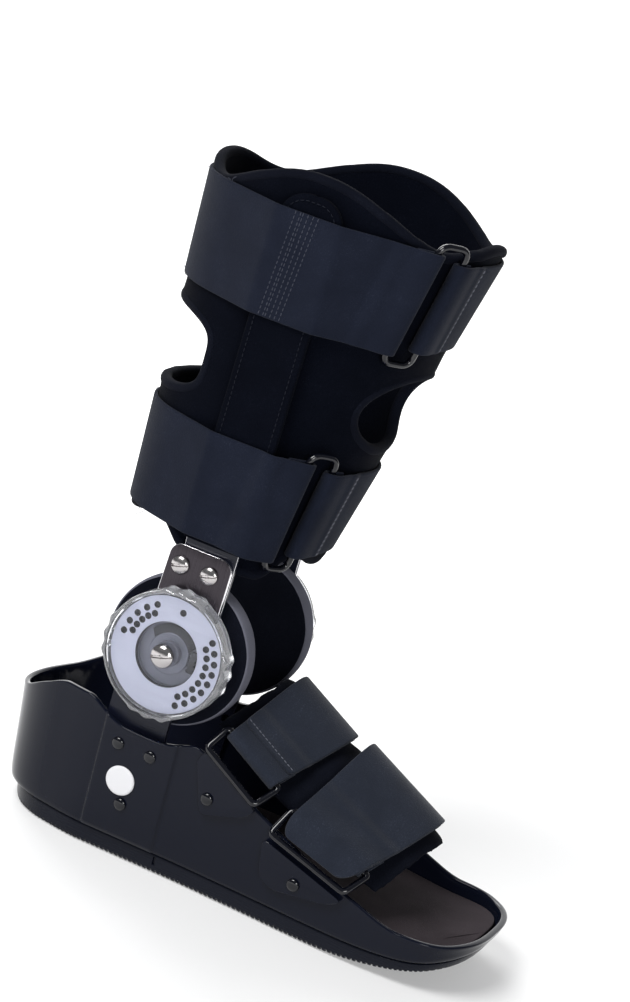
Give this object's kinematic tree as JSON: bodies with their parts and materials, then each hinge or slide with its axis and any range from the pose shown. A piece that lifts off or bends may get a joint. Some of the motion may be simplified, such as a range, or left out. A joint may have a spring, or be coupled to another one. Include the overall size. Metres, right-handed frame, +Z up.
{
  "type": "walking boot",
  "caption": "Hinged ankle walking boot: open-toe rocker shell with foot straps, range-of-motion dial hinges and a strapped calf wrap.",
  "frame": {"origin": "on the floor under the flat of the sole, in the middle of the foot's length and width", "axes": "+Z up, -Y towards the toes, +X towards the inner (medial) side of this right boot"},
  "size_m": [0.1328, 0.2541, 0.3343],
  "materials": {
    "shell_plastic": "gloss moulded",
    "sole_rubber": "satin",
    "insole_foam": "matt brushed cloth on foam",
    "strap_webbing": "matt loop cloth",
    "wrap_fabric": "matt brushed loop cloth",
    "pad_foam": "velour on grey foam",
    "loop_plastic": "gloss",
    "plate_steel": "dark brushed",
    "screw_chrome": "polished",
    "arm_paint": "satin",
    "dial_grey": "satin",
    "dial_silver": "satin silver",
    "clear_cover": "clear moulded plastic",
    "disc_white": "satin"
  },
  "bodies": {
    "foot": {"outsole": "sole_rubber", "foot_shell": "shell_plastic", "insole": "insole_foam", "size_disc": "disc_white", "instep_strap": "strap_webbing", "toe_strap": "strap_webbing", "instep_pad": "pad_foam", "lower_arm_lateral": "arm_paint", "hinge_housing_lateral": "dial_grey", "protractor_lateral": "dial_silver", "dial_cover_lateral": "clear_cover", "pivot_screw_lateral": "screw_chrome", "ankle_pad_lateral": "pad_foam", "instep_tab_lateral": "loop_plastic", "toe_tab_lateral": "loop_plastic", "instep_tab_rivet_lateral": "shell_plastic", "toe_tab_rivet_lateral": "shell_plastic", "instep_loop_lateral": "loop_plastic", "toe_loop_lateral": "loop_plastic", "panel_rivet_lateral_1": "shell_plastic", "panel_rivet_lateral_2": "shell_plastic", "panel_rivet_lateral_3": "shell_plastic", "lower_arm_medial": "arm_paint", "hinge_housing_medial": "dial_grey", "protractor_medial": "dial_silver", "dial_cover_medial": "clear_cover", "pivot_screw_medial": "screw_chrome", "ankle_pad_medial": "pad_foam", "instep_tab_medial": "loop_plastic", "toe_tab_medial": "loop_plastic", "instep_tab_rivet_medial": "shell_plastic", "toe_tab_rivet_medial": "shell_plastic", "instep_loop_medial": "loop_plastic", "toe_loop_medial": "loop_plastic", "panel_rivet_medial_1": "shell_plastic", "panel_rivet_medial_2": "shell_plastic", "panel_rivet_medial_3": "shell_plastic"},
    "leg": {"upper_plate_lateral": "plate_steel", "upper_plate_medial": "plate_steel", "upright_lateral": "plate_steel", "upright_medial": "plate_steel", "upright_pocket_lateral": "wrap_fabric", "upright_pocket_medial": "wrap_fabric", "plate_screw_lateral_rear": "screw_chrome", "plate_screw_lateral_front": "screw_chrome", "plate_screw_medial_rear": "screw_chrome", "plate_screw_medial_front": "screw_chrome", "calf_wrap": "wrap_fabric", "upper_calf_strap": "strap_webbing", "upper_ring": "loop_plastic", "upper_ring_keeper": "strap_webbing", "lower_calf_strap": "strap_webbing", "lower_ring": "loop_plastic", "lower_ring_keeper": "strap_webbing"}
  },
  "joints": [
    {"name": "ankle_hinge", "type": "hinge", "parent": "foot", "child": "leg", "pos_m": [0, 0.0467, 0.1056], "axis": [1, 0, 0], "range_deg": [-45, 30]}
  ]
}
